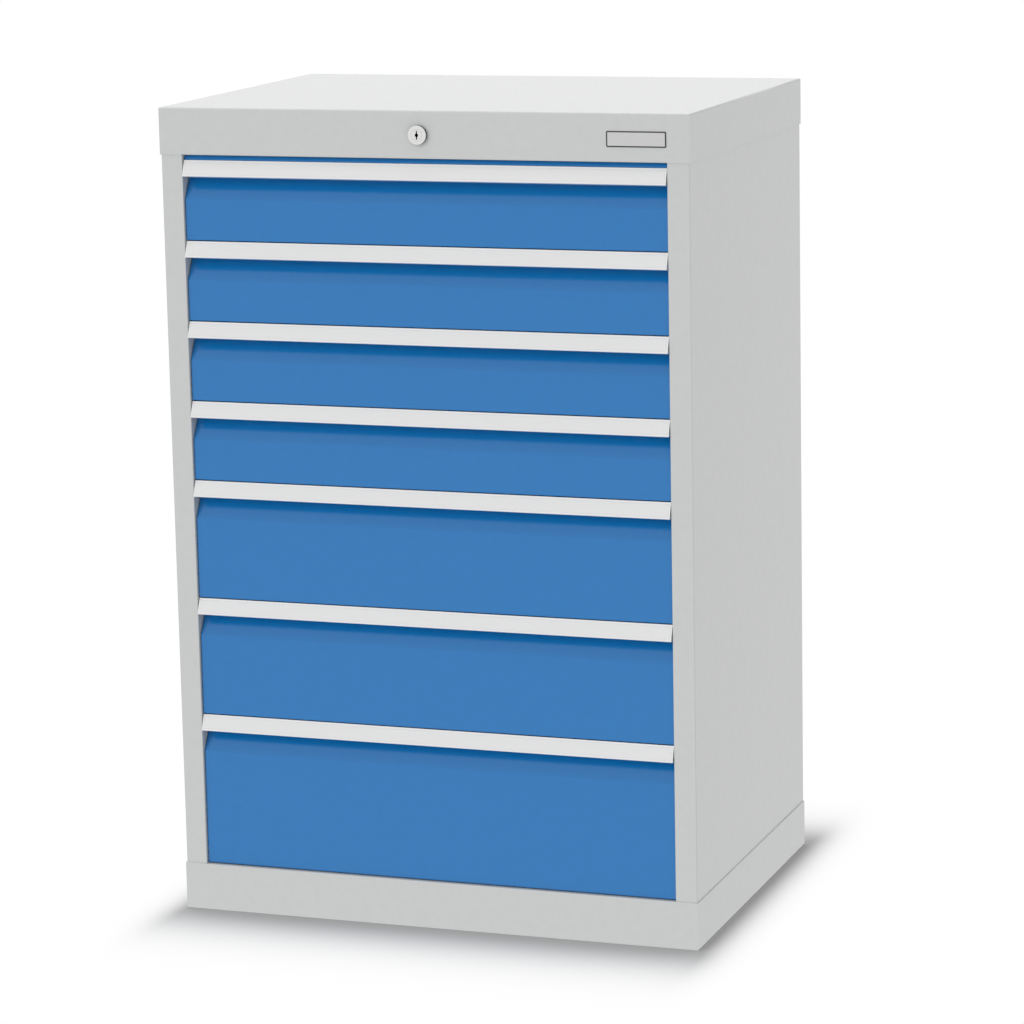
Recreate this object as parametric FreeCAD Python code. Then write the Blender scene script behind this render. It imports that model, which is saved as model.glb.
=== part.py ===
"""Drawer cabinet of folded sheet steel: seven drawers on full-extension roller slides and a central lock.

The frame has +X to the right as seen from the front, +Y to the back and +Z up. The origin is on the floor,
at the middle of the base. Lengths are in millimetres.
"""

import FreeCAD
import Part
import math
import os

# Housing
body_width = 677.0
body_depth = 489.2
cover_sheet = 1.2
panel_sheet = 1.0
back_sheet = 1.0
bend_inside = 0.8
base_height = 60.0
fascia_height = 58.0
stile_width = 27.5
stile_return = 20.0
rear_flange = 20.0
edge_flange = 15.0
joint_gap = 0.1

# Drawer grid
grid = 25.0
drawer_units = [4, 4, 4, 4, 6, 6, 8]
front_gap = 1.0
front_side_gap = 1.0

# Drawer fronts
front_sheet = 1.0
front_set_back = 4.0
recess_depth = 14.0
recess_top_drop = 23.5
recess_bend_drop = 48.0
front_rear_flange = 14.0
top_lip_lean = 4.0

# Handle strips
strip_drop = 6.5
strip_height = 19.3
strip_lean = 8.0
strip_lip = 0.7
label_groove = 0.6
strip_wall = 1.4
lip_root = 1.2
lip_reach = 2.4
strip_leg_height = 14.0
strip_leg_wall = 1.5
strip_edge_radius = 0.6
strip_cap_width = 2.0

# Drawer trays
tray_sheet = 1.0
tray_rear_space = 48.0
tray_hem = 8.0
tray_rise = 4.0
tray_top_space = 18.0

# Slotted uprights
upright_sheet = 1.5
upright_width = 30.0
upright_lip = 12.0
upright_set_back = 33.0
upright_rear_space = 18.0
slot_width = 4.0
slot_height = 14.0

# Roller slides
rail_rise = 26.0
rail_sheet = 1.5
rail_depth = 9.0
rail_inset = 1.0
bar_sheet = 2.0
bar_height = 22.0
bar_front_space = 7.0
bar_rear_space = 23.0
slide_gap = 0.8
roller_diameter = 20.0
roller_flats = 12
roller_clearance = 0.3
roller_end_gap = 0.4
roller_spacing = 170.0
roller_inset = 12.0
drawer_rail_inset = 5.0
hook_sheet = 2.5
hook_height = 8.0
hook_drop = 4.0
hook_reach = 2.0

# Central lock
rosette_diameter = 23.5
rosette_depth = 6.0
rosette_chamfer = 0.8
barrel_diameter = 20.0
barrel_length = 25.2
barrel_fit = 0.2
rotor_diameter = 14.0
rotor_fit = 0.05
rotor_recess = 0.2
rotor_stud = 7.0
rotor_stud_length = 3.5
rotor_stud_fit = 0.05
nut_width = 26.0
nut_depth = 5.0
keyhole_diameter = 4.4
keyhole_slot = 1.5
keyhole_height = 10.4
keyhole_depth = 12.0
cam_width = 14.0
cam_corner = 3.0
cam_sheet = 2.0
cam_gap = 0.5
cam_pin_diameter = 4.0
cam_pin_spare = 1.5

# Locking bar
lock_lift = 10.0
lock_bar_sheet = 2.0
lock_bar_width = 15.0
lock_bar_inset = 5.5
lock_bar_gap = 1.0
lock_bar_foot = 12.0
lock_arm_height = 22.0
lock_slot_clearance = 0.45
lock_tab_height = 8.0
lock_tab_gap = 2.0
lock_tab_reach = 16.0
guide_sheet = 1.5
guide_height = 16.0
guide_rise = 64.0

# Lock catches on the trays
catch_sheet = 2.0
catch_reach = 11.6
catch_foot = 20.0
catch_height = 10.0
catch_rise = 52.0
catch_gap = 1.0

# Badge plate, bare
badge_width = 74.0
badge_height = 19.0
badge_sheet = 0.8
badge_radius = 1.5
badge_drop = 1.5

# Worked-out planes and levels
half_width = body_width / 2
front = -body_depth / 2
back = body_depth / 2
opening_half = half_width - stile_width
opening_bottom = base_height
opening_top = opening_bottom + sum(drawer_units) * grid + front_gap
overall_height = opening_top + fascia_height
rail_plane = opening_half + panel_sheet
front_half = opening_half - front_side_gap
rail_height = roller_diameter + 2 * roller_clearance + 2 * rail_sheet
bar_outer = rail_plane - rail_depth - slide_gap
bar_inner = bar_outer - bar_sheet
tray_half = bar_inner - slide_gap - rail_depth
tray_front = front + front_set_back + recess_depth + front_sheet
back_inner = back - panel_sheet - back_sheet
tray_rear = back_inner - tray_rear_space
upright_front = front + upright_set_back
upright_rear = back_inner - upright_rear_space
bar_front = tray_front + bar_front_space
bar_rear = upright_rear - bar_rear_space
lock_bar_back = upright_front - lock_bar_gap
lock_bar_front = lock_bar_back - lock_bar_sheet
lock_bar_inner = rail_plane + lock_bar_inset
lock_level = opening_top + fascia_height / 2
cam_front = front - cover_sheet + barrel_length + cam_gap
cam_pin_radius = lock_lift / math.sqrt(2)
strip_depth = strip_lip + label_groove + strip_wall


# Building blocks

def point(x, y, z):
    return FreeCAD.Vector(x, y, z)


def block(low, high):
    """Box between two corners."""
    size = point(*high) - point(*low)
    return Part.makeBox(size.x, size.y, size.z, point(*low))


def rod(radius, start, end):
    """Round bar from one point to another."""
    along = point(*end) - point(*start)
    return Part.makeCylinder(radius, along.Length, point(*start), along)


def in_plan(level):
    """Places an outline's (x, y) at a level."""
    return lambda u, v: point(u, v, level)


def in_elevation(depth):
    """Places an outline's (x, z) at a depth along Y."""
    return lambda u, v: point(u, depth, v)


def in_section(side):
    """Places an outline's (y, z) at a distance along X."""
    return lambda u, v: point(side, u, v)


def unit(start, end):
    length = math.hypot(end[0] - start[0], end[1] - start[1])
    return (end[0] - start[0]) / length, (end[1] - start[1]) / length


def rounded_face(corners, place):
    """Flat face inside an outline of corners (u, v, radius), each rounded by its radius."""
    flat = [(u, v) for u, v, radius in corners]
    runs = []
    for number, (u, v, radius) in enumerate(corners):
        before = unit(flat[number - 1], (u, v))
        after = unit((u, v), flat[(number + 1) % len(flat)])
        turn = math.acos(max(-1.0, min(1.0, before[0] * after[0] + before[1] * after[1])))
        trim = radius * math.tan(turn / 2)
        start = (u - before[0] * trim, v - before[1] * trim)
        end = (u + after[0] * trim, v + after[1] * trim)
        reach = radius / math.cos(turn / 2) - radius
        middle = None
        if trim > 0:
            inward = unit((0, 0), (after[0] - before[0], after[1] - before[1]))
            middle = (u + inward[0] * reach, v + inward[1] * reach)
        runs.append((start, middle, end))
    edges = []
    for number, (start, middle, end) in enumerate(runs):
        edges.append(Part.LineSegment(place(*runs[number - 1][2]), place(*start)).toShape())
        if middle:
            edges.append(Part.Arc(place(*start), place(*middle), place(*end)).toShape())
    return Part.Face(Part.Wire(Part.__sortEdges__(edges)))


def folded_face(face_line, sheet, place, inside=bend_inside):
    """Section of a folded sheet, which lies to the left of face_line, or to its right if sheet is negative.

    Bends have the given inside radius, and with inside None they are drawn sharp.
    """
    side = math.copysign(1.0, sheet)
    outside = 0.0 if inside is None else inside + abs(sheet)
    inside = inside or 0.0
    ends = [face_line[0]] + list(face_line) + [face_line[-1]]
    near = []
    far = []
    for number, (u, v) in enumerate(face_line):
        before = ends[number]
        after = ends[number + 2]
        into = unit(before, (u, v)) if before != (u, v) else unit((u, v), after)
        out = unit((u, v), after) if after != (u, v) else into
        turn = into[0] * out[1] - into[1] * out[0]
        share = sheet / (1 + into[0] * out[0] + into[1] * out[1])
        far_u = u - (into[1] + out[1]) * share
        far_v = v + (into[0] + out[0]) * share
        towards_sheet = turn * side > 0
        if abs(turn) < 1e-9:
            near.append((u, v, 0.0))
            far.append((far_u, far_v, 0.0))
        elif towards_sheet:
            near.append((u, v, outside))
            far.append((far_u, far_v, inside))
        else:
            near.append((u, v, inside))
            far.append((far_u, far_v, outside))
    return rounded_face(near + far[::-1], place)


def mirrored(shape):
    """The same piece for the other side of the cabinet."""
    return shape.mirror(point(0, 0, 0), point(1, 0, 0))


def folded_pan(low_z, high_z, closed_z):
    """Sheet pan round the body, closed at one level and open at the other, with its corners welded flush."""
    half_x = half_width + cover_sheet
    half_y = body_depth / 2 + cover_sheet
    outer = block((-half_x, -half_y, low_z), (half_x, half_y, high_z))
    inner_low = low_z + (cover_sheet if closed_z == low_z else -cover_sheet)
    inner_high = high_z - (cover_sheet if closed_z == high_z else -cover_sheet)
    inner = block((-half_width, front, inner_low), (half_width, back, inner_high))
    inner_closed = inner_low if closed_z == low_z else inner_high
    outer = with_rounded_bends(outer, bend_inside + cover_sheet, closed_z)
    inner = with_rounded_bends(inner, bend_inside, inner_closed)
    return outer.cut(inner)


def with_rounded_bends(shape, radius, level):
    """Rounds the four edges of a box at a level."""
    bends = [edge for edge in shape.Edges if abs(edge.CenterOfMass.z - level) < 1e-6]
    return shape.makeFillet(radius, bends)


def with_edge_return(pan, edge_z, way):
    """Folds a return at the free edge of the pan's front wall, which lies above the edge if way is 1."""
    outer_y = front - cover_sheet
    fold_room = 2 * (bend_inside + cover_sheet)
    reach = opening_half - joint_gap
    levels = sorted([edge_z, edge_z + way * fold_room])
    wall_piece = block((-reach, outer_y, levels[0]), (reach, front, levels[1]))
    line = [(outer_y, edge_z + way * fold_room), (outer_y, edge_z), (front + edge_flange, edge_z)]
    fold = folded_face(line, way * cover_sheet, in_section(-reach))
    return pan.cut(wall_piece).fuse(fold.extrude(point(2 * reach, 0, 0))).removeSplitter()


# Housing pieces

def top_cover():
    cover = folded_pan(opening_top, overall_height, overall_height)
    cover = with_edge_return(cover, opening_top, 1)
    hole_radius = barrel_diameter / 2 + barrel_fit
    hole = rod(hole_radius, (0, front - 2 * cover_sheet, lock_level), (0, front + cover_sheet, lock_level))
    return cover.cut(hole)


def base_pan():
    return with_edge_return(folded_pan(0.0, base_height, 0.0), base_height, -1)


def side_panel():
    """Right side panel: one sheet with its rear flange, the front stile and the stile's return."""
    bottom = cover_sheet + bend_inside
    top = overall_height - cover_sheet - bend_inside
    line = [
        (half_width - rear_flange, back),
        (half_width, back),
        (half_width, front),
        (opening_half, front),
        (opening_half, front + stile_return),
    ]
    return folded_face(line, -panel_sheet, in_plan(bottom), 0.0).extrude(point(0, 0, top - bottom))


def back_panel():
    reach = half_width - panel_sheet - bend_inside - joint_gap
    top = overall_height - cover_sheet
    return block((-reach, back_inner, cover_sheet), (reach, back_inner + back_sheet, top))


def pitch_bottom(number):
    """Level of the foot of a drawer's space on the grid, with drawer 0 at the top."""
    return opening_bottom + front_gap + sum(drawer_units[number + 1:]) * grid


def pitch_top(number):
    return pitch_bottom(number) + drawer_units[number] * grid


def rail_level(number):
    return pitch_bottom(number) + rail_rise


def upright(front_face):
    """Right upright: hat section welded to the side panel, with a slot in its web at each step of the grid."""
    lip_x = half_width - panel_sheet - upright_sheet
    rear_face = front_face + upright_width
    line = [
        (lip_x, front_face - upright_lip),
        (lip_x, front_face),
        (rail_plane, front_face),
        (rail_plane, rear_face),
        (lip_x, rear_face),
        (lip_x, rear_face + upright_lip),
    ]
    height = overall_height - 2 * cover_sheet
    post = folded_face(line, -upright_sheet, in_plan(cover_sheet), None).extrude(point(0, 0, height))
    middle = front_face + upright_width / 2
    slots = []
    for step in range(sum(drawer_units)):
        foot = opening_bottom + front_gap + rail_rise - hook_height / 2 + step * grid
        low = (rail_plane - upright_sheet, middle - slot_width / 2, foot)
        high = (rail_plane + 2 * upright_sheet, middle + slot_width / 2, foot + slot_height)
        slots.append(block(low, high))
    return post.cut(Part.makeCompound(slots))


def rail_section(face_x, lip_x, level, side, start_y):
    """Channel section with its web's face at face_x and its lips reaching lip_x."""
    high = level + rail_height / 2
    low = level - rail_height / 2
    line = [(lip_x, high), (face_x, high), (face_x, low), (lip_x, low)]
    return folded_face(line, side * rail_sheet, in_elevation(start_y), None)


def rail_hook(middle_y, level):
    """Hook through an upright's slot: a neck on the slot's foot and a tip behind the web."""
    low = level - hook_height / 2
    high = level + hook_height / 2
    tip_x = rail_plane + upright_sheet + joint_gap
    near = middle_y - hook_sheet / 2
    far = middle_y + hook_sheet / 2
    neck = block((rail_plane - rail_sheet, near, low), (tip_x, far, high))
    tip = block((tip_x, near, low - hook_drop), (tip_x + hook_reach, far, high))
    return neck.fuse(tip)


def cabinet_rail(number):
    """Right fixed rail, open towards the drawer, with a hook for each upright."""
    level = rail_level(number)
    start = upright_front + rail_inset
    end = upright_rear - rail_inset
    section = rail_section(rail_plane, rail_plane - rail_depth, level, -1, start)
    rail = section.extrude(point(0, end - start, 0))
    hooks = [
        rail_hook(upright_front + upright_width / 2, level),
        rail_hook(upright_rear - upright_width / 2, level),
    ]
    return rail.fuse(hooks).removeSplitter()


# Drawer pieces

def strip_top(number):
    return pitch_top(number) - strip_drop


def front_bottom(number):
    if number == len(drawer_units) - 1:
        return opening_bottom + front_gap
    return strip_top(number + 1) + front_gap


def drawer_front(number):
    """Folded front: main face, leaning recess and fixing flanges, closed by a cheek at each end.

    The first front goes on over its strip with a lip that leans back and fills the gap below the fascia.
    """
    top = strip_top(number)
    bottom = front_bottom(number)
    face = front + front_set_back
    deep = face + recess_depth
    line = [
        (tray_front, bottom + front_rear_flange),
        (tray_front, bottom),
        (face, bottom),
        (face, top - recess_bend_drop),
        (deep, top - recess_top_drop),
        (deep, top),
    ]
    if number == 0:
        line += [(face, top), (face + top_lip_lean, opening_top - front_gap)]
    section = folded_face(line, -front_sheet, in_section(-front_half), 0.0)
    sheet = section.extrude(point(2 * front_half, 0, 0))
    half_sheet = front_sheet / 2
    cheek_line = [
        (deep + half_sheet, bottom + half_sheet, 0.0),
        (face + half_sheet, bottom + half_sheet, 0.0),
        (face + half_sheet, top - recess_bend_drop, 0.0),
        (deep + half_sheet, top - recess_top_drop, 0.0),
    ]
    cheek = rounded_face(cheek_line, in_section(front_half - front_sheet)).extrude(point(front_sheet, 0, 0))
    return sheet.fuse([cheek, mirrored(cheek)]).removeSplitter()


def handle_strip(number):
    """Extruded strip: sloping face with two lips for a label, a top wall and a leg on the front's sheet.

    A cap closes its section at each end.
    """
    top = strip_top(number)
    top_y = front + front_set_back
    leg_y = top_y + recess_depth
    down = unit((0, 0), (-strip_lean, -strip_height))
    length = math.hypot(strip_lean, strip_height)

    def at(along, depth, radius=0.0):
        """Corner at a distance down the sloping face and a depth behind it."""
        return top_y + down[0] * along - down[1] * depth, top + down[1] * along + down[0] * depth, radius

    under = top - strip_leg_wall
    inner_along = (strip_leg_wall + down[0] * strip_depth) / -down[1]
    inner_y = at(inner_along, strip_depth)[0]
    corners = [
        (leg_y, top, 0.0),
        (top_y, top, strip_edge_radius),
        at(lip_reach, 0.0),
        at(lip_reach, strip_lip),
        at(lip_root, strip_lip),
        at(lip_root, strip_lip + label_groove),
        at(length - lip_root, strip_lip + label_groove),
        at(length - lip_root, strip_lip),
        at(length - lip_reach, strip_lip),
        at(length - lip_reach, 0.0),
        at(length, 0.0, strip_edge_radius),
        at(length, strip_depth),
        (inner_y, under, 0.0),
        (leg_y - strip_leg_wall, under, 0.0),
        (leg_y - strip_leg_wall, top - strip_leg_height, 0.0),
        (leg_y, top - strip_leg_height, 0.0),
    ]
    reach = front_half - strip_cap_width
    strip = rounded_face(corners, in_section(-reach)).extrude(point(2 * reach, 0, 0))
    cap_corners = [
        (leg_y, top, 0.0),
        (top_y, top, 0.0),
        at(length, 0.0),
        at(length, strip_depth),
        (leg_y, top - strip_leg_height, 0.0),
    ]
    cap = rounded_face(cap_corners, in_section(reach)).extrude(point(strip_cap_width, 0, 0))
    return Part.makeCompound([strip, cap, mirrored(cap)])


def drawer_tray(number):
    """Tray: floor and sides are one folded sheet with a hem along each side, with welded end walls."""
    low = pitch_bottom(number) + tray_rise
    high = pitch_top(number) - tray_top_space
    line = [
        (tray_hem - tray_half, high),
        (-tray_half, high),
        (-tray_half, low),
        (tray_half, low),
        (tray_half, high),
        (tray_half - tray_hem, high),
    ]
    section = folded_face(line, tray_sheet, in_elevation(tray_front), None)
    tray = section.extrude(point(0, tray_rear - tray_front, 0))
    wall_half = tray_half - tray_sheet
    wall_low = low + tray_sheet
    wall_high = high - tray_sheet
    near_wall = block((-wall_half, tray_front, wall_low), (wall_half, tray_front + tray_sheet, wall_high))
    far_wall = block((-wall_half, tray_rear - tray_sheet, wall_low), (wall_half, tray_rear, wall_high))
    return tray.fuse([near_wall, far_wall]).removeSplitter()


def drawer_rail(number):
    """Right rail on the tray's side, open outwards."""
    start = tray_front + drawer_rail_inset
    end = tray_rear - rail_inset
    section = rail_section(tray_half, tray_half + rail_depth, rail_level(number), 1, start)
    return section.extrude(point(0, end - start, 0))


def roller(start_x, end_x, middle_y, level):
    """Roller between two distances along X, drawn with flats that lie within its circle."""
    radius = roller_diameter / 2
    outline = []
    for step in range(roller_flats):
        angle = 2 * math.pi * (step + 0.5) / roller_flats
        outline.append((middle_y + radius * math.cos(angle), level + radius * math.sin(angle), 0.0))
    return rounded_face(outline, in_section(start_x)).extrude(point(end_x - start_x, 0, 0))


def middle_rail(number):
    """Right middle bar with its rollers: two run in the drawer's rail and two in the cabinet's."""
    level = rail_level(number)
    bar = block((bar_inner, bar_front, level - bar_height / 2), (bar_outer, bar_rear, level + bar_height / 2))
    inner_end = tray_half + rail_sheet + roller_end_gap
    outer_end = rail_plane - rail_sheet - roller_end_gap
    pieces = [bar]
    for step in range(2):
        inner_y = bar_front + roller_inset + step * roller_spacing
        outer_y = bar_rear - roller_inset - step * roller_spacing
        pieces.append(roller(inner_end, bar_inner, inner_y, level))
        pieces.append(roller(bar_outer, outer_end, outer_y, level))
    return pieces


def lock_catch(number):
    """Angle on the tray's right side, which a tab of the locking bar stands in front of when locked."""
    low = pitch_bottom(number) + catch_rise
    face = lock_bar_back + catch_gap
    line = [(tray_half + catch_reach, face), (tray_half, face), (tray_half, face + catch_foot)]
    return folded_face(line, -catch_sheet, in_plan(low), None).extrude(point(0, 0, catch_height))


# Central lock

def lock_barrel():
    """Barrel with its rosette in front of the fascia, bored for the rotor."""
    fascia = front - cover_sheet
    face = fascia - rosette_depth
    rosette = rod(rosette_diameter / 2, (0, face, lock_level), (0, fascia, lock_level))
    rim = [edge for edge in rosette.Edges if abs(edge.CenterOfMass.y - face) < 1e-6]
    rosette = rosette.makeChamfer(rosette_chamfer, rim)
    barrel = rod(barrel_diameter / 2, (0, fascia, lock_level), (0, fascia + barrel_length, lock_level))
    bore = rod(
        rotor_diameter / 2 + rotor_fit,
        (0, face - rosette_chamfer, lock_level),
        (0, cam_front, lock_level),
    )
    return rosette.fuse(barrel).cut(bore)


def lock_rotor():
    """Rotor with the keyhole in its face and a square stud for the cam at its rear."""
    face = front - cover_sheet - rosette_depth + rotor_recess
    rotor = rod(rotor_diameter / 2, (0, face, lock_level), (0, cam_front, lock_level))
    half_stud = rotor_stud / 2
    stud = block(
        (-half_stud, cam_front, lock_level - half_stud),
        (half_stud, cam_front + rotor_stud_length, lock_level + half_stud),
    )
    floor = face + keyhole_depth
    hole = rod(keyhole_diameter / 2, (0, face - rotor_recess, lock_level), (0, floor, lock_level))
    slot = block(
        (-keyhole_slot / 2, face - rotor_recess, lock_level - keyhole_height / 2),
        (keyhole_slot / 2, floor, lock_level + keyhole_height / 2),
    )
    return rotor.fuse(stud).cut(hole.fuse(slot))


def lock_nut():
    """Hexagon nut behind the fascia."""
    corner = nut_width / math.sqrt(3)
    outline = []
    for step in range(6):
        angle = math.radians(60 * step)
        outline.append((corner * math.cos(angle), lock_level + corner * math.sin(angle), 0.0))
    nut = rounded_face(outline, in_elevation(front)).extrude(point(0, nut_depth, 0))
    hole = rod(
        barrel_diameter / 2 + joint_gap,
        (0, front - cover_sheet, lock_level),
        (0, front + 2 * nut_depth, lock_level),
    )
    return nut.cut(hole)


def lock_cam():
    """Cam lever on the rotor's stud. Its pin at the lower left lifts the locking bar as the key turns."""
    far = cam_front + cam_sheet
    half = cam_width / 2
    tip = cam_pin_radius + cam_pin_diameter
    outline = [
        (-half, cam_corner - half),
        (cam_corner - half, -half),
        (tip - cam_corner, -half),
        (tip, cam_corner - half),
        (tip, half - cam_corner),
        (tip - cam_corner, half),
        (cam_corner - half, half),
        (-half, half - cam_corner),
    ]
    slant = math.sqrt(0.5)
    corners = [(slant * (v - u), lock_level - slant * (u + v), 0.0) for u, v in outline]
    lever = rounded_face(corners, in_elevation(cam_front)).extrude(point(0, cam_sheet, 0))
    half_hole = rotor_stud / 2 + rotor_stud_fit
    hole = block(
        (-half_hole, cam_front - cam_sheet, lock_level - half_hole),
        (half_hole, far + cam_sheet, lock_level + half_hole),
    )
    pin_x = -lock_lift / 2
    pin_z = lock_level - lock_lift / 2
    pin = rod(cam_pin_diameter / 2, (pin_x, far, pin_z), (pin_x, lock_bar_back + cam_pin_spare, pin_z))
    return lever.cut(hole).fuse(pin)


def locking_bar():
    """Flat bar behind the right stile, with an arm across to the lock's cam."""
    arm_level = lock_level - lock_lift / 2
    arm_top = arm_level + lock_arm_height / 2
    arm_bottom = arm_level - lock_arm_height / 2
    outer = lock_bar_inner + lock_bar_width
    lowest_tab = pitch_bottom(len(drawer_units) - 1) + catch_rise - lock_tab_gap - lock_tab_height
    arm_end = -cam_pin_radius - cam_pin_diameter
    bar = block((lock_bar_inner, lock_bar_front, lowest_tab - lock_bar_foot), (outer, lock_bar_back, arm_top))
    arm = block((arm_end, lock_bar_front, arm_bottom), (outer, lock_bar_back, arm_top))
    play = cam_pin_diameter / 2 + lock_slot_clearance
    slot = block(
        (-cam_pin_radius - play, lock_bar_front - lock_bar_sheet, arm_level - play),
        (play - lock_lift / 2, lock_bar_back + lock_bar_sheet, arm_level + play),
    )
    return bar.fuse(arm).cut(slot).removeSplitter()


def lock_tab(number):
    """Tab welded to the locking bar's edge, which stands in front of a drawer's catch when locked."""
    high = pitch_bottom(number) + catch_rise - lock_tab_gap
    low = high - lock_tab_height
    return block((rail_plane - lock_tab_reach, lock_bar_front, low), (lock_bar_inner, lock_bar_back, high))


def lock_bar_guide(number):
    """Bracket on the right front upright that holds the locking bar to its line."""
    low = pitch_bottom(number) + guide_rise
    near = lock_bar_front - lock_bar_gap - guide_sheet
    side = lock_bar_gap + guide_sheet
    inner = lock_bar_inner - side
    outer = lock_bar_inner + lock_bar_width + side
    line = [(outer, upright_front), (outer, near), (inner, near), (inner, upright_front)]
    return folded_face(line, -guide_sheet, in_plan(low), None).extrude(point(0, 0, guide_height))


def badge_plate():
    """Bare plate on the fascia. Its right end is in line with the side of the opening."""
    right = opening_half
    left = right - badge_width
    middle = lock_level - badge_drop
    low = middle - badge_height / 2
    high = middle + badge_height / 2
    outline = [
        (left, low, badge_radius),
        (right, low, badge_radius),
        (right, high, badge_radius),
        (left, high, badge_radius),
    ]
    back_face = front - cover_sheet
    return rounded_face(outline, in_elevation(back_face - badge_sheet)).extrude(point(0, badge_sheet, 0))


# Assembly

def housing_pieces():
    right_panel = side_panel()
    front_upright = upright(upright_front)
    rear_upright = upright(upright_rear - upright_width)
    rails = [cabinet_rail(number) for number in range(len(drawer_units))]
    rails += [mirrored(rail) for rail in rails]
    return {
        "top_cover": top_cover(),
        "base_pan": base_pan(),
        "side_panel_right": right_panel,
        "side_panel_left": mirrored(right_panel),
        "back_panel": back_panel(),
        "upright_front_right": front_upright,
        "upright_front_left": mirrored(front_upright),
        "upright_rear_right": rear_upright,
        "upright_rear_left": mirrored(rear_upright),
        "cabinet_rails": Part.makeCompound(rails),
        "badge_plate": badge_plate(),
    }


def lock_pieces():
    last = len(drawer_units) - 1
    guides = [lock_bar_guide(number) for number in (0, last // 2, last)]
    tabs = [lock_tab(number) for number in range(len(drawer_units))]
    return {
        "lock_barrel": lock_barrel(),
        "lock_nut": lock_nut(),
        "lock_rotor": lock_rotor(),
        "lock_cam": lock_cam(),
        "locking_bar": locking_bar(),
        "lock_tabs": Part.makeCompound(tabs),
        "lock_bar_guides": Part.makeCompound(guides),
    }


def drawer_pieces(number):
    rail = drawer_rail(number)
    middle = middle_rail(number)
    label = str(number + 1)
    return {
        "drawer_front_" + label: drawer_front(number),
        "handle_strip_" + label: handle_strip(number),
        "drawer_tray_" + label: drawer_tray(number),
        "lock_catch_" + label: lock_catch(number),
        "drawer_rails_" + label: Part.makeCompound([rail, mirrored(rail)]),
        "middle_rails_" + label: Part.makeCompound(middle + [mirrored(piece) for piece in middle]),
    }


def main():
    os.makedirs("parts", exist_ok=True)
    pieces = housing_pieces()
    pieces.update(lock_pieces())
    for number in range(len(drawer_units)):
        pieces.update(drawer_pieces(number))
    for name, shape in pieces.items():
        shape.exportStep("parts/" + name + ".step")
        print(name, len(shape.Solids), "solid(s), valid", shape.isValid())


main()
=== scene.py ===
# %% [markdown]
# # A drawer cabinet of folded steel
#
# The real object is a workshop cabinet: a grey powder-coated housing, seven blue drawer fronts, and a
# sloping aluminium strip along the top of each front that is pulled with the fingertips. Its pieces come in
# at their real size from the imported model, in metres. This script gives them their finishes, adds the small
# parts that the model leaves out, and sets up a plain studio with a camera.

# %% Load the frame
import math

import bmesh
import bpy
from mathutils import Matrix, Vector


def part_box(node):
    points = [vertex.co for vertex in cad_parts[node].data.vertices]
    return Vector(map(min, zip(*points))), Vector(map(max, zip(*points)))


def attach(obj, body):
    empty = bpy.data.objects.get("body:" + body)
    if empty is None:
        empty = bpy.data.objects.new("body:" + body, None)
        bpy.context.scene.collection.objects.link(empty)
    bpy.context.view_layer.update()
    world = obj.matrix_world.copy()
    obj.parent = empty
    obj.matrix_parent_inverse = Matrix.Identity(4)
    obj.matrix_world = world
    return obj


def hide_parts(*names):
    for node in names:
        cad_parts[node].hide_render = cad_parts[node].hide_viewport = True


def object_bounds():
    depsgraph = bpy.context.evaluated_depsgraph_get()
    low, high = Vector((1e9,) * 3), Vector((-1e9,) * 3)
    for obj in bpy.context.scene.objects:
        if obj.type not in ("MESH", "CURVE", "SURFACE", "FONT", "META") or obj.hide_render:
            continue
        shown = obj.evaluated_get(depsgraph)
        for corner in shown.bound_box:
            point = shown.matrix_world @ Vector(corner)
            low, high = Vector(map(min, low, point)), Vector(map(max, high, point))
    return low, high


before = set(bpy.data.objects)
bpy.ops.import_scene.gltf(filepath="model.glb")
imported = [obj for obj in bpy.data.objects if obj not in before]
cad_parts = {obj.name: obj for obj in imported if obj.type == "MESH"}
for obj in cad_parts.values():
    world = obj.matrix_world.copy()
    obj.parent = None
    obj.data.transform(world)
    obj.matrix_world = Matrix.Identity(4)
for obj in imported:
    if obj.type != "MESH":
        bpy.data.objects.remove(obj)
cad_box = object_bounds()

print("its box is", [round(high - low, 4) for low, high in zip(*cad_box)], "m")

# %% [markdown]
# ## The camera
#
# The picture was taken with a long lens from the front right and a little above. Five straight edges in each
# direction were fitted to find the lens and the place of the camera. Euler angles for a camera are easy to
# get wrong, so the turn is built in three steps that a photographer would name: roll, tilt and azimuth.

# %% Place the camera
camera_place = Vector((1.6747, -4.6429, 1.4464))
camera_azimuth = math.radians(19.59)
camera_elevation = math.radians(11.055)
camera_roll = math.radians(1.142)
camera_lens = 138.03
sensor_width = 36.0
view_reach = 60.0

camera_data = bpy.data.cameras.new("studio_camera")
camera_data.lens = camera_lens
camera_data.sensor_width = sensor_width
camera_data.clip_end = view_reach
camera = bpy.data.objects.new("studio_camera", camera_data)
bpy.context.scene.collection.objects.link(camera)
roll = Matrix.Rotation(-camera_roll, 3, "Z")
tilt = Matrix.Rotation(math.pi / 2 - camera_elevation, 3, "X")
azimuth = Matrix.Rotation(camera_azimuth, 3, "Z")
camera.rotation_euler = (azimuth @ tilt @ roll).to_euler()
camera.location = camera_place
bpy.context.scene.camera = camera
print("the camera stands", round(camera_place.length, 2), "m from the foot of the cabinet")

# %% [markdown]
# ## Colours
#
# Colours are noted as they look on a screen and turned into the linear values that the shader works with.
# Typing linear values would save the step, but nobody can tell from 0.578 how light that grey looks.

# %% From screen colours to linear ones
def linear(*screen):
    """Linear colour of a screen colour given as 0 to 255, by the curve of common screens."""
    values = []
    for value in screen:
        share = value / 255
        values.append(share / 12.92 if share <= 0.04045 else ((share + 0.055) / 1.055) ** 2.4)
    return (*values, 1.0)


def shaded(colour, factor):
    return (*[channel * factor for channel in colour[:3]], 1.0)


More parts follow.
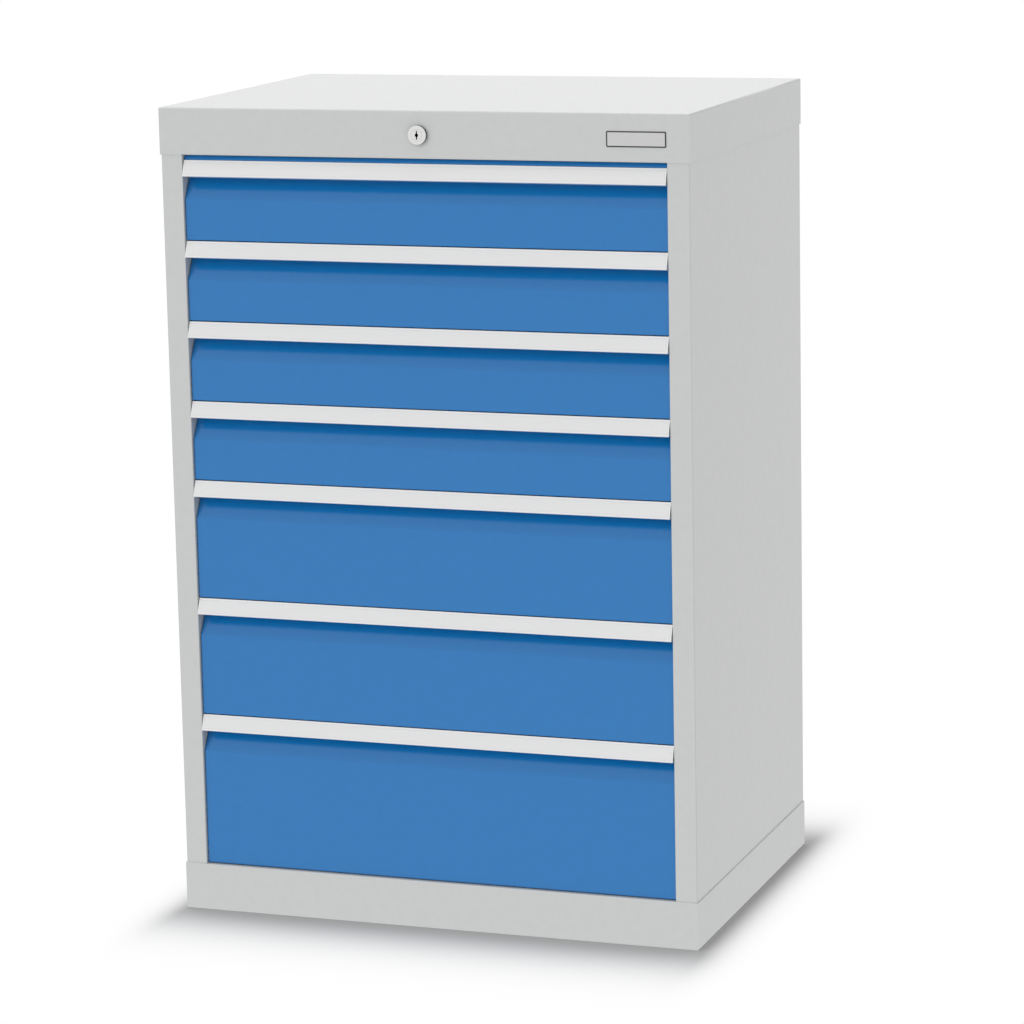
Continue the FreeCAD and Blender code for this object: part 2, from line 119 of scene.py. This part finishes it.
print("a screen grey of 200 is", round(linear(200, 200, 200)[0], 3), "to the shader")

# %% [markdown]
# ## Building blocks of a finish
#
# No painted or plated sheet has one flat colour and one even gloss. A photograph of a sheet could be wrapped
# round the parts, but it would need a picture and show seams. Noise on object coordinates needs neither, and
# has the same grain on every panel. Small helpers make it and turn it into tones, roughness and bumps.

# %% Noise, tones, ranges and bumps
noise_low = 0.3
noise_high = 0.7


def new_finish(name, roughness, metallic=0.0):
    """Empty finish: its node tree, its shader and its material."""
    material = bpy.data.materials.new(name)
    material.use_nodes = True
    tree = material.node_tree
    shader = tree.nodes["Principled BSDF"]
    shader.inputs["Roughness"].default_value = roughness
    shader.inputs["Metallic"].default_value = metallic
    return tree, shader, material


def add_noise(tree, grains, detail, stretch=(1.0, 1.0, 1.0)):
    """Noise on object coordinates, in grains per metre, that can be stretched along an axis."""
    place = tree.nodes.new("ShaderNodeTexCoord")
    mapping = tree.nodes.new("ShaderNodeMapping")
    mapping.inputs["Scale"].default_value = stretch
    noise = tree.nodes.new("ShaderNodeTexNoise")
    noise.inputs["Scale"].default_value = grains
    noise.inputs["Detail"].default_value = detail
    tree.links.new(place.outputs["Object"], mapping.inputs["Vector"])
    tree.links.new(mapping.outputs["Vector"], noise.inputs["Vector"])
    return noise.outputs["Fac"]


def add_tones(tree, factor, dark, light):
    """Mixes two tones of a colour by a noise."""
    ramp = tree.nodes.new("ShaderNodeValToRGB")
    ramp.color_ramp.elements[0].position = noise_low
    ramp.color_ramp.elements[0].color = dark
    ramp.color_ramp.elements[1].position = noise_high
    ramp.color_ramp.elements[1].color = light
    tree.links.new(factor, ramp.inputs["Fac"])
    return ramp.outputs["Color"]


def add_range(tree, factor, low, high):
    """Maps a noise to a range of numbers."""
    node = tree.nodes.new("ShaderNodeMapRange")
    node.inputs["From Min"].default_value = noise_low
    node.inputs["From Max"].default_value = noise_high
    node.inputs["To Min"].default_value = low
    node.inputs["To Max"].default_value = high
    tree.links.new(factor, node.inputs["Value"])
    return node.outputs["Result"]


def add_bump(tree, shader, height, depth, strength):
    """Bump of a depth in metres."""
    bump = tree.nodes.new("ShaderNodeBump")
    bump.inputs["Strength"].default_value = strength
    bump.inputs["Distance"].default_value = depth
    tree.links.new(height, bump.inputs["Height"])
    tree.links.new(bump.outputs["Normal"], shader.inputs["Normal"])


print("a noise is used from", noise_low, "to", noise_high)

# %% [markdown]
# ## Powder coat
#
# Powder coat is plastic that melted on the sheet: it is satin, its skin has a very fine orange peel, and its
# tone wanders a little from place to place. A large noise gives the tones and a fine one gives both the
# roughness and the bump, so that the gloss follows the peel. The blue is noted without the white sheen that
# the studio lays on it: under the strips, where nothing white is mirrored, the photograph shows that pure
# colour, which has almost no red.

# %% The grey and the blue coat
def powder_coat(name, colour):
    """Satin coat with a fine orange peel and a tone that wanders a little."""
    spread = 0.015
    tree, shader, material = new_finish(name, roughness=0.2)
    clouds = add_noise(tree, grains=90.0, detail=4.0)
    peel = add_noise(tree, grains=700.0, detail=1.0)
    tones = add_tones(tree, clouds, shaded(colour, 1 - spread), shaded(colour, 1 + spread))
    tree.links.new(tones, shader.inputs["Base Color"])
    tree.links.new(add_range(tree, peel, 0.17, 0.23), shader.inputs["Roughness"])
    shader.inputs["Specular IOR Level"].default_value = 0.65
    add_bump(tree, shader, peel, depth=0.00005, strength=0.2)
    return material


grey_coat = powder_coat("grey_powder_coat", linear(200, 202, 201))
blue_coat = powder_coat("blue_powder_coat", linear(2, 114, 184))
print("coats:", grey_coat.name, "and", blue_coat.name)

# %% [markdown]
# ## Aluminium
#
# The handle strips are extruded aluminium with a matt skin. The die leaves faint lines that run along them,
# so the noise is stretched fifty times along X. An anisotropic shader would stretch the highlight as well,
# but the strips lie under an even white light, where that doesn't show. The plate on the fascia has the same
# grain and is darker.

# %% Strips and plate
along_x = (0.02, 1.0, 1.0)


def extruded_aluminium(name, colour, roughness):
    tree, shader, material = new_finish(name, roughness, metallic=0.7)
    grain = add_noise(tree, grains=900.0, detail=2.0, stretch=along_x)
    tones = add_tones(tree, grain, shaded(colour, 0.97), shaded(colour, 1.03))
    tree.links.new(tones, shader.inputs["Base Color"])
    tree.links.new(add_range(tree, grain, roughness - 0.04, roughness + 0.06), shader.inputs["Roughness"])
    add_bump(tree, shader, grain, depth=0.00002, strength=0.3)
    return material


aluminium = extruded_aluminium("strip_aluminium", linear(232, 232, 233), 0.45)
anodised = extruded_aluminium("plate_aluminium", linear(204, 203, 203), 0.5)
print("aluminium:", aluminium.name, "and", anodised.name)

# %% [markdown]
# ## Zinc-plated steel
#
# Slides, uprights, rails and the parts behind the lock are zinc-plated steel, whose crystals give it a soft
# cloudy grey. The clouds drive both the tone and the roughness, because the dull patches of a plating are
# also the rough ones. The rollers are bare bearing steel: the same recipe, darker and smoother.

# %% Zinc and bearing steel
def plated_steel(name, colour, roughness):
    tree, shader, material = new_finish(name, roughness, metallic=1.0)
    clouds = add_noise(tree, grains=70.0, detail=5.0)
    grain = add_noise(tree, grains=1400.0, detail=1.0)
    tones = add_tones(tree, clouds, shaded(colour, 0.88), shaded(colour, 1.08))
    tree.links.new(tones, shader.inputs["Base Color"])
    tree.links.new(add_range(tree, clouds, roughness - 0.06, roughness + 0.08), shader.inputs["Roughness"])
    add_bump(tree, shader, grain, depth=0.00002, strength=0.25)
    return material


zinc = plated_steel("zinc_plated_steel", linear(196, 198, 200), 0.34)
bearing_steel = plated_steel("bearing_steel", linear(176, 178, 181), 0.26)
print("steels:", zinc.name, "and", bearing_steel.name)

# %% [markdown]
# ## The face of the lock
#
# The lock's face was turned on a lathe before it was plated, so its marks are rings round the axis of the
# lock. A wave texture can draw rings, but only round the origin of its coordinates, so a Mapping node moves
# the origin to the lock. From a millimetre behind the face the metal is painted dark: painted shade that
# stands for the shadow on the side wall of the lock.

# %% Turned nickel
lock_low, lock_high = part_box("lock_barrel")
lock_axis = Vector(((lock_low.x + lock_high.x) / 2, lock_low.y, (lock_low.z + lock_high.z) / 2))
painted_shade_depth = 0.001
rings_scale = 700.0
rings_wobble = 0.6


def turned_nickel(name, colour, roughness):
    """Plated face with lathe rings round the lock's axis, and painted shade on the wall behind it."""
    tree, shader, material = new_finish(name, roughness, metallic=1.0)
    place = tree.nodes.new("ShaderNodeTexCoord")
    mapping = tree.nodes.new("ShaderNodeMapping")
    mapping.inputs["Location"].default_value = -lock_axis
    tree.links.new(place.outputs["Object"], mapping.inputs["Vector"])
    axes = tree.nodes.new("ShaderNodeSeparateXYZ")
    tree.links.new(mapping.outputs["Vector"], axes.inputs["Vector"])
    # painted shade: from a millimetre behind the face the colour falls to a fifth, for the shadow on the
    # lock's wall
    depth = tree.nodes.new("ShaderNodeMapRange")
    depth.inputs["From Min"].default_value = painted_shade_depth
    depth.inputs["From Max"].default_value = 2 * painted_shade_depth
    tree.links.new(axes.outputs["Y"], depth.inputs["Value"])
    tones = add_tones(tree, depth.outputs["Result"], colour, shaded(colour, 0.2))
    tree.links.new(tones, shader.inputs["Base Color"])
    rings = tree.nodes.new("ShaderNodeTexWave")
    rings.wave_type = "RINGS"
    rings.rings_direction = "Y"
    rings.inputs["Scale"].default_value = rings_scale
    rings.inputs["Distortion"].default_value = rings_wobble
    tree.links.new(mapping.outputs["Vector"], rings.inputs["Vector"])
    dust = add_noise(tree, grains=500.0, detail=3.0)
    tree.links.new(add_range(tree, dust, roughness - 0.05, roughness + 0.08), shader.inputs["Roughness"])
    add_bump(tree, shader, rings.outputs["Fac"], depth=0.00001, strength=0.3)
    return material


nickel = turned_nickel("turned_nickel", linear(222, 222, 221), 0.3)
print("the lock's axis is", round(lock_axis.z, 4), "m above the floor")

# %% [markdown]
# ## Dress the nodes of the model
#
# A node keeps its shape, and only its material slots are filled. Each node could be named in turn, but the
# names say what the pieces are, so a short list of name beginnings is enough. What isn't on the list is
# zinc-plated.

# %% Give each node its finish
finish_of = {
    "top_cover": grey_coat,
    "base_pan": grey_coat,
    "side_panel": grey_coat,
    "back_panel": grey_coat,
    "drawer_tray": grey_coat,
    "drawer_front": blue_coat,
    "handle_strip": aluminium,
    "badge_plate": anodised,
    "lock_barrel": nickel,
    "lock_rotor": nickel,
}


def dress(node, material):
    node.data.materials.clear()
    node.data.materials.append(material)


for name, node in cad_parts.items():
    chosen = [finish for start, finish in finish_of.items() if name.startswith(start)]
    dress(node, chosen[0] if chosen else zinc)
print("dressed", len(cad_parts), "nodes")

# %% [markdown]
# ## Soft edges
#
# Folded sheet has no knife edges: powder coat rounds even a cut edge a little, and that thin rounding
# catches the light. The model's edges are sharp, and its meshes stay as they are, so two modifiers do it.
# The model's triangles lie loose beside each other, so a weld joins them first, and then a bevel rounds each
# edge that turns by more than a set angle. The bevel stays under half of the thinnest steel sheet.

# %% Round the edges of the nodes
edge_radius = 0.0004
edge_steps = 2
edge_angle = math.radians(35)
join_distance = 0.00001


def soft_edges(node):
    """Welds a node's loose triangles and rounds its edges, both as modifiers."""
    weld = node.modifiers.new("join", "WELD")
    weld.merge_threshold = join_distance
    bevel = node.modifiers.new("soft_edges", "BEVEL")
    bevel.width = edge_radius
    bevel.segments = edge_steps
    bevel.profile = 0.5
    bevel.material = -1
    bevel.limit_method = "ANGLE"
    bevel.angle_limit = edge_angle
    bevel.harden_normals = True


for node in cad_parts.values():
    soft_edges(node)
print("edges are rounded by", edge_radius * 1000, "mm")

# %% [markdown]
# ## From a bmesh to a piece
#
# Every new piece is made in a bmesh, the editable form of a mesh, and then becomes an object that stands at
# the origin with its place in its vertices. It rides on one of the bodies of the model, so that it moves
# with it.

# %% Turn a bmesh into a piece
def piece_from(shape, name, body, material):
    """Makes an object of a bmesh, gives it its finish and lets it ride on a body."""
    bmesh.ops.recalc_face_normals(shape, faces=shape.faces)
    mesh = bpy.data.meshes.new(name)
    shape.to_mesh(mesh)
    shape.free()
    mesh.materials.append(material)
    piece = bpy.data.objects.new(name, mesh)
    bpy.context.scene.collection.objects.link(piece)
    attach(piece, body)
    return piece


# %% [markdown]
# ## A roller
#
# Between each drawer and the housing runs a flat steel bar with four rollers. Two roll in the rail on the
# drawer, two in the rail in the housing, and the bar travels half as far as the drawer does. The model's
# rollers have twelve flats, which is enough for motion. A cylinder with more sides would be rounder but
# still plain, so each roller is spun from its half section instead, with a boss against the bar, a chamfered
# rim and a dished face round the end of its axle. The axle's riveted head is spun the same way.

# %% Spin a roller and its rivet head
bar_thickness = 0.002
roller_radius = 0.01
roller_width = 0.0079
roller_chamfer = 0.0006
boss_radius = 0.0045
boss_height = 0.0004
dish_radius = 0.0078
dish_depth = 0.0007
axle_radius = 0.003
axle_tip_radius = 0.0024
head_height = 0.0006
spin_steps = 32


def spun(shape, profile, centre, side):
    """Spins a half section of (distance, radius) points round an axis along X through a centre."""
    corners = [shape.verts.new(centre + Vector((side * reach, 0, radius))) for reach, radius in profile]
    edges = [shape.edges.new(pair) for pair in zip(corners, corners[1:])]
    bmesh.ops.spin(
        shape,
        geom=corners + edges,
        cent=centre,
        axis=(1, 0, 0),
        angle=2 * math.pi,
        steps=spin_steps,
        use_merge=True,
    )


def add_roller(shape, centre, side):
    """Roller on one side of the bar, and the riveted head of its axle on the other."""
    rim = roller_radius - roller_chamfer
    dish = roller_width - dish_depth
    roller = [
        (0.0, 0.0),
        (0.0, boss_radius),
        (boss_height, boss_radius),
        (boss_height, rim),
        (boss_height + roller_chamfer, roller_radius),
        (roller_width - roller_chamfer, roller_radius),
        (roller_width, rim),
        (roller_width, dish_radius),
        (dish, dish_radius),
        (dish, axle_radius),
        (roller_width, axle_tip_radius),
        (roller_width, 0.0),
    ]
    spun(shape, roller, centre, side)
    head = [
        (0.0, 0.0),
        (0.0, boss_radius),
        (head_height / 2, boss_radius),
        (head_height, axle_radius),
        (head_height, 0.0),
    ]
    spun(shape, head, centre - Vector((side * bar_thickness, 0, 0)), -side)


print("a roller is", roller_radius * 2000, "mm across and is spun in", spin_steps, "steps")

# %% [markdown]
# ## The bars and their rollers
#
# The bar is a box whose four corners are rounded, as a punch leaves them. Only the edges that run through
# its thickness are bevelled: they are the ones whose two ends share a depth and a height. Bars and rollers
# take their sizes from the box of the node that they stand for, so they stay where the motion puts it.

# %% Slides with round rollers
bar_corner = 0.003
corner_steps = 4
roller_inset = 0.012
roller_spacing = 0.17


def add_box(shape, low, high):
    """Adds a box between two corners to a bmesh."""
    size = Vector(high) - Vector(low)
    middle = (Vector(high) + Vector(low)) / 2
    matrix = Matrix.Translation(middle) @ Matrix.Diagonal((*size, 1.0))
    bmesh.ops.create_cube(shape, size=1.0, matrix=matrix)


def rounded(shape, corners, radius, steps, affect):
    """Rounds edges or corners of a bmesh by a radius."""
    bmesh.ops.bevel(
        shape,
        geom=corners,
        offset=radius,
        offset_type="OFFSET",
        affect=affect,
        segments=steps,
        profile=0.5,
        material=-1,
    )


def middle_slides(number):
    """The two bars of a drawer's slides and their eight rollers, which stand for the plain ones."""
    low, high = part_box(f"middle_rails_{number}")
    outer = high.x - roller_width
    inner = outer - bar_thickness
    level = (low.z + high.z) / 2
    bars = bmesh.new()
    rollers = bmesh.new()
    for side in (1, -1):
        left, right = sorted((side * inner, side * outer))
        add_box(bars, (left, low.y, low.z), (right, high.y, high.z))
        for step in range(2):
            ahead = low.y + roller_inset + step * roller_spacing
            behind = high.y - roller_inset - step * roller_spacing
            add_roller(rollers, Vector((side * inner, ahead, level)), -side)
            add_roller(rollers, Vector((side * outer, behind, level)), side)
    across = [edge for edge in bars.edges if edge.verts[0].co.y == edge.verts[1].co.y]
    corners = [edge for edge in across if edge.verts[0].co.z == edge.verts[1].co.z]
    rounded(bars, corners, bar_corner, corner_steps, "EDGES")
    bmesh.ops.remove_doubles(rollers, verts=rollers.verts, dist=join_distance)
    body = f"middle_{number}"
    bar_piece = piece_from(bars, f"slide_bars_{number}", body, zinc)
    roller_piece = piece_from(rollers, f"slide_rollers_{number}", body, bearing_steel)
    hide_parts(f"middle_rails_{number}")
    return roller_piece


drawer_numbers = [int(name.rsplit("_", 1)[1]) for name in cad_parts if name.startswith("handle_strip_")]
for number in drawer_numbers:
    roller_piece = middle_slides(number)
print("a drawer's rollers have", len(roller_piece.data.polygons), "faces")

# %% [markdown]
# ## The slope of a strip
#
# Each handle strip has a groove between its two lips, and a plastic label insert slides in from its end. The
# strip leans, so the insert is drawn in the strip's own slanting frame, with one axis along the cabinet, one
# down the slope and one into it. It could be drawn upright and turned afterwards, but then its place would
# need trigonometry. A matrix with the three directions as its columns needs none.

# %% Frame of a strip's face
strip_lean = 0.008
strip_height = 0.0193


def slope_frame(number):
    """Frame of a strip's sloping face, from the middle of its upper edge, and the length of the slope."""
    low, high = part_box(f"handle_strip_{number}")
    down = Vector((0.0, -strip_lean, -strip_height))
    length = down.length
    down.normalize()
    inward = Vector((1, 0, 0)).cross(down)
    corner = Vector((0.0, low.y + strip_lean, high.z))
    turn = Matrix((Vector((1, 0, 0)), down, inward)).transposed()
    return Matrix.Translation(corner) @ turn.to_4x4(), length, (high.x - low.x) / 2


slope_length = slope_frame(drawer_numbers[0])[1]
print("a strip's face is", round(slope_length * 1000, 1), "mm down its slope")

# %% [markdown]
# ## Plastic for the inserts
#
# The inserts are pale moulded plastic with a fine grain and a soft gloss. Seen from a step away the grain is
# too fine to see, but it keeps the highlight from looking like glass.

# %% Matt plastic
def matt_plastic():
    """Light grey plastic with a fine grain and a soft gloss."""
    tree, shader, material = new_finish("light_plastic", roughness=0.5)
    grain = add_noise(tree, grains=500.0, detail=5.0)
    colour = linear(228, 228, 228)
    tones = add_tones(tree, grain, shaded(colour, 0.985), shaded(colour, 1.015))
    tree.links.new(tones, shader.inputs["Base Color"])
    tree.links.new(add_range(tree, grain, 0.45, 0.6), shader.inputs["Roughness"])
    add_bump(tree, shader, grain, depth=0.00002, strength=0.3)
    return material


plastic = matt_plastic()
print("inserts are of", plastic.name)

# %% [markdown]
# ## Label inserts
#
# An insert's edges lie behind the lips and its middle stands level with them, so its section is a flat T. One
# face with that outline is drawn out along the strip, from one end cap to the other, and the strip's frame
# puts it in place.

# %% Inserts for the strips
lip_root = 0.0012
lip_reach = 0.0024
lip_depth = 0.0007
groove_depth = 0.0006
cap_width = 0.002
play = 0.0001


def draw_out(shape, faces, way):
    """Draws flat faces out into a closed solid."""
    drawn = bmesh.ops.extrude_face_region(shape, geom=faces)["geom"]
    moved = [item for item in drawn if isinstance(item, bmesh.types.BMVert)]
    bmesh.ops.translate(shape, verts=moved, vec=way)


def label_insert(number):
    """Flat T that fills a strip's groove between its end caps."""
    matrix, length, half = slope_frame(number)
    edge = lip_root + play
    face = lip_reach + play
    under = lip_depth + play
    back = lip_depth + groove_depth - play
    outline = [
        (edge, under),
        (face, under),
        (face, 0.0),
        (length - face, 0.0),
        (length - face, under),
        (length - edge, under),
        (length - edge, back),
        (edge, back),
    ]
    shape = bmesh.new()
    reach = half - cap_width - play
    end_face = shape.faces.new([shape.verts.new((-reach, u, v)) for u, v in outline])
    draw_out(shape, [end_face], (2 * reach, 0, 0))
    bmesh.ops.transform(shape, matrix=matrix, verts=shape.verts)
    return piece_from(shape, f"label_insert_{number}", f"drawer_{number}", plastic)


for number in drawer_numbers:
    label_insert(number)
print("inserts in", len(drawer_numbers), "strips, level with their lips")

# %% [markdown]
# ## Outline of the plate
#
# The small plate on the fascia is bare, with a thin black line round its edge. The line is a raised print,
# so it is a flat ring. It could be drawn by a material, but then it would not be there in the mesh. Two
# rectangles of four corners each have their corners rounded by a bevel of the vertices, the gap between them
# is bridged, and the ring is drawn out by the thickness of the print.

# %% Printed line round the plate
rim_width = 0.0015
rim_height = 0.0001
rim_radius = 0.0015
rim_inner_radius = 0.0004
rim_steps = 5


def black_print():
    """Black ink with a little dust on it."""
    tree, shader, material = new_finish("black_print", roughness=0.5)
    dust = add_noise(tree, grains=600.0, detail=2.0)
    colour = linear(42, 42, 44)
    tones = add_tones(tree, dust, shaded(colour, 0.9), shaded(colour, 1.1))
    tree.links.new(tones, shader.inputs["Base Color"])
    tree.links.new(add_range(tree, dust, 0.45, 0.55), shader.inputs["Roughness"])
    return material


def add_rounded(shape, low, high, inset, radius):
    """Adds an upright rectangle with round corners, set in from the front face of a box."""
    left, right = low.x + inset, high.x - inset
    bottom, top = low.z + inset, high.z - inset
    places = [(left, bottom), (right, bottom), (right, top), (left, top)]
    corners = [shape.verts.new((x, low.y, z)) for x, z in places]
    shape.faces.new(corners)
    rounded(shape, corners, radius, rim_steps, "VERTICES")


def plate_rim():
    low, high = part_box("badge_plate")
    shape = bmesh.new()
    add_rounded(shape, low, high, 0.0, rim_radius)
    add_rounded(shape, low, high, rim_width, rim_inner_radius)
    bmesh.ops.delete(shape, geom=shape.faces[:], context="FACES_ONLY")
    ring = bmesh.ops.bridge_loops(shape, edges=shape.edges[:])["faces"]
    draw_out(shape, ring, (0, -rim_height, 0))
    return piece_from(shape, "plate_rim", "housing", black_print())


rim = plate_rim()
print("the line round the plate has", len(rim.data.polygons), "faces")

# %% [markdown]
# ## Lamps
#
# Product pictures of cabinets are lit evenly from top to bottom. Softboxes near the cabinet would light its
# top more than its foot, so the lamps stand endlessly far away: two suns with a wide angle, which gives soft
# shadows and no falloff. One shines on the front, from the left and low down, and the other comes from
# overhead. They leave no mirror image on the satin coat, which mirrors only the white room. A sun of pi
# watts per square metre lights a white sheet that faces it to full white.

# %% Two soft suns
studio_lamps = {
    "front_lamp": ((-0.45, -0.88, 0.35), 0.28, 40.0),
    "top_lamp": ((-0.15, 0.15, 1.0), 0.36, 60.0),
}

for name, (direction, share, spread) in studio_lamps.items():
    data = bpy.data.lights.new(name, "SUN")
    data.energy = share * math.pi
    data.angle = math.radians(spread)
    lamp = bpy.data.objects.new(name, data)
    bpy.context.scene.collection.objects.link(lamp)
    lamp.rotation_euler = Vector(direction).to_track_quat("Z", "Y").to_euler()
    lamp.visible_glossy = False
print("lamps:", ", ".join(studio_lamps))

# %% [markdown]
# ## The white room
#
# The world adds light from everywhere. At full strength it would wash the cabinet out, so it has two
# strengths: it looks white to the camera and in reflections, and lights the cabinet more weakly than that.
# The Light Path node tells the kinds of ray apart. Each step of its sum is one Math node, and three lines of
# code for each would bury the sum, so a helper adds a node and links its operands.

# %% World
world_light = 0.6

world = bpy.data.worlds.new("white_studio")
bpy.context.scene.world = world
world.use_nodes = True
world_tree = world.node_tree


def number_math(tree, operation, *operands):
    """One step of arithmetic, whose operands are numbers or outputs of other nodes."""
    node = tree.nodes.new("ShaderNodeMath")
    node.operation = operation
    for socket, operand in zip(node.inputs, operands):
        if isinstance(operand, float):
            socket.default_value = operand
        else:
            tree.links.new(operand, socket)
    return node.outputs[0]


def mirrored_ray(tree, path):
    """1 for rays that a glossy or a clear surface sends on."""
    return number_math(tree, "MAXIMUM", path.outputs["Is Glossy Ray"], path.outputs["Is Transmission Ray"])


def seen_ray(tree):
    """1 for rays from the camera and for mirrored ones, and 0 for light."""
    path = tree.nodes.new("ShaderNodeLightPath")
    return number_math(tree, "MAXIMUM", path.outputs["Is Camera Ray"], mirrored_ray(tree, path))


seen_light = world_tree.nodes["Background"]
seen_light.inputs["Color"].default_value = (1.0, 1.0, 1.0, 1.0)
seen_light.inputs["Strength"].default_value = 1.0
cast_light = world_tree.nodes.new("ShaderNodeBackground")
cast_light.inputs["Color"].default_value = (1.0, 1.0, 1.0, 1.0)
cast_light.inputs["Strength"].default_value = world_light
choice = world_tree.nodes.new("ShaderNodeMixShader")
world_tree.links.new(seen_ray(world_tree), choice.inputs["Fac"])
world_tree.links.new(cast_light.outputs[0], choice.inputs[1])
world_tree.links.new(seen_light.outputs[0], choice.inputs[2])
world_tree.links.new(choice.outputs[0], world_tree.nodes["World Output"].inputs["Surface"])
bpy.context.scene.view_settings.view_transform = "Standard"
print("the white room lights the cabinet at", world_light, "of its own brightness")

# %% [markdown]
# ## The shadow's shape
#
# The floor carries a painted shadow at the foot of the cabinet and turns to pure white further away, as a
# seamless ground does. The distance from the cabinet's footprint decides between the two: the position less
# the half size of the footprint, cut off at zero, has that distance as its length, and the painted shadow
# fades with it along a bell-like curve. It is drawn further to the front than to the sides, and its middle is
# moved a few millimetres to the right, so that it reaches a little further to the right than to the left.

# %% Share of white on the floor
# painted shadow: how far the grey ground near the cabinet reaches before it fades to white
painted_shadow_spread = (0.025, 0.082)
painted_shadow_shift = 0.004
fade_power = 1.55
footprint = (cad_box[1] - cad_box[0]) / 2


def vector_math(tree, operation, first, second=(0.0, 0.0, 0.0)):
    """One step of vector arithmetic, whose second operand is a constant."""
    node = tree.nodes.new("ShaderNodeVectorMath")
    node.operation = operation
    tree.links.new(first, node.inputs[0])
    node.inputs[1].default_value = second
    return node.outputs


def painted_shadow_fade(tree):
    """Fade of the painted shadow: 0 at the cabinet's footprint and 1 where it has faded to white."""
    place = tree.nodes.new("ShaderNodeTexCoord")
    shifted = vector_math(tree, "SUBTRACT", place.outputs["Object"], (painted_shadow_shift, 0.0, 0.0))
    folded = vector_math(tree, "ABSOLUTE", shifted[0])
    beyond = vector_math(tree, "SUBTRACT", folded[0], (footprint.x, footprint.y, 0.0))
    outside = vector_math(tree, "MAXIMUM", beyond[0])
    shared = vector_math(tree, "DIVIDE", outside[0], (*painted_shadow_spread, 1.0))
    distance = vector_math(tree, "LENGTH", shared[0])["Value"]
    raised = number_math(tree, "POWER", distance, fade_power)
    shadow = number_math(tree, "EXPONENT", number_math(tree, "MULTIPLY", raised, -1.0))
    return number_math(tree, "SUBTRACT", 1.0, shadow)


print("the shadow on the floor spreads", painted_shadow_spread, "m to the sides and to the front")

# %% [markdown]
# ## The floor
#
# Three kinds of ray meet the floor, and each needs something else. The camera sees grey ground that fades to
# white: the grey takes the real shade of the lamps, and its fade by distance from the cabinet is painted
# shadow. Gloss mirrors plain white, and light that bounces gets an even weak glow, so that the floor lights
# the undersides as a white ground does. A glowing surface is also used as a lamp, and a lamp is worked out
# without asking what kind of ray it is for. That would light the cabinet unevenly, so it is turned off.

# %% Floor with a painted shadow that fades
floor_size = 30.0
# painted shadow: the grey of the ground that the camera sees near the cabinet
painted_shadow_tone = 0.45
floor_light = 0.8


def fading_floor():
    """Grey ground as painted shadow near the cabinet, white further away, and an even weak glow for bounced
    light.
    """
    tree, shader, material = new_finish("studio_floor", roughness=1.0)
    material.cycles.emission_sampling = "NONE"
    shader.inputs["Base Color"].default_value = (painted_shadow_tone, painted_shadow_tone, painted_shadow_tone, 1.0)
    shader.inputs["Specular IOR Level"].default_value = 0.0
    path = tree.nodes.new("ShaderNodeLightPath")
    # painted shadow: near the cabinet the camera sees the grey ground, further away plain white
    from_camera = number_math(tree, "MULTIPLY", painted_shadow_fade(tree), path.outputs["Is Camera Ray"])
    seen = number_math(tree, "MAXIMUM", from_camera, mirrored_ray(tree, path))
    strength = tree.nodes.new("ShaderNodeMapRange")
    strength.inputs["To Min"].default_value = 1.0
    strength.inputs["To Max"].default_value = floor_light
    tree.links.new(path.outputs["Is Diffuse Ray"], strength.inputs["Value"])
    white = tree.nodes.new("ShaderNodeEmission")
    tree.links.new(strength.outputs["Result"], white.inputs["Strength"])
    mix = tree.nodes.new("ShaderNodeMixShader")
    tree.links.new(number_math(tree, "MAXIMUM", seen, path.outputs["Is Diffuse Ray"]), mix.inputs["Fac"])
    tree.links.new(shader.outputs[0], mix.inputs[1])
    tree.links.new(white.outputs[0], mix.inputs[2])
    tree.links.new(mix.outputs[0], tree.nodes["Material Output"].inputs["Surface"])
    return material


floor_shape = bmesh.new()
bmesh.ops.create_grid(floor_shape, x_segments=2, y_segments=2, size=floor_size / 2)
floor_mesh = bpy.data.meshes.new("floor")
floor_shape.to_mesh(floor_mesh)
floor_shape.free()
floor_mesh.materials.append(fading_floor())
floor = bpy.data.objects.new("floor", floor_mesh)
bpy.context.scene.collection.objects.link(floor)
print("the floor is", floor_size, "m wide")
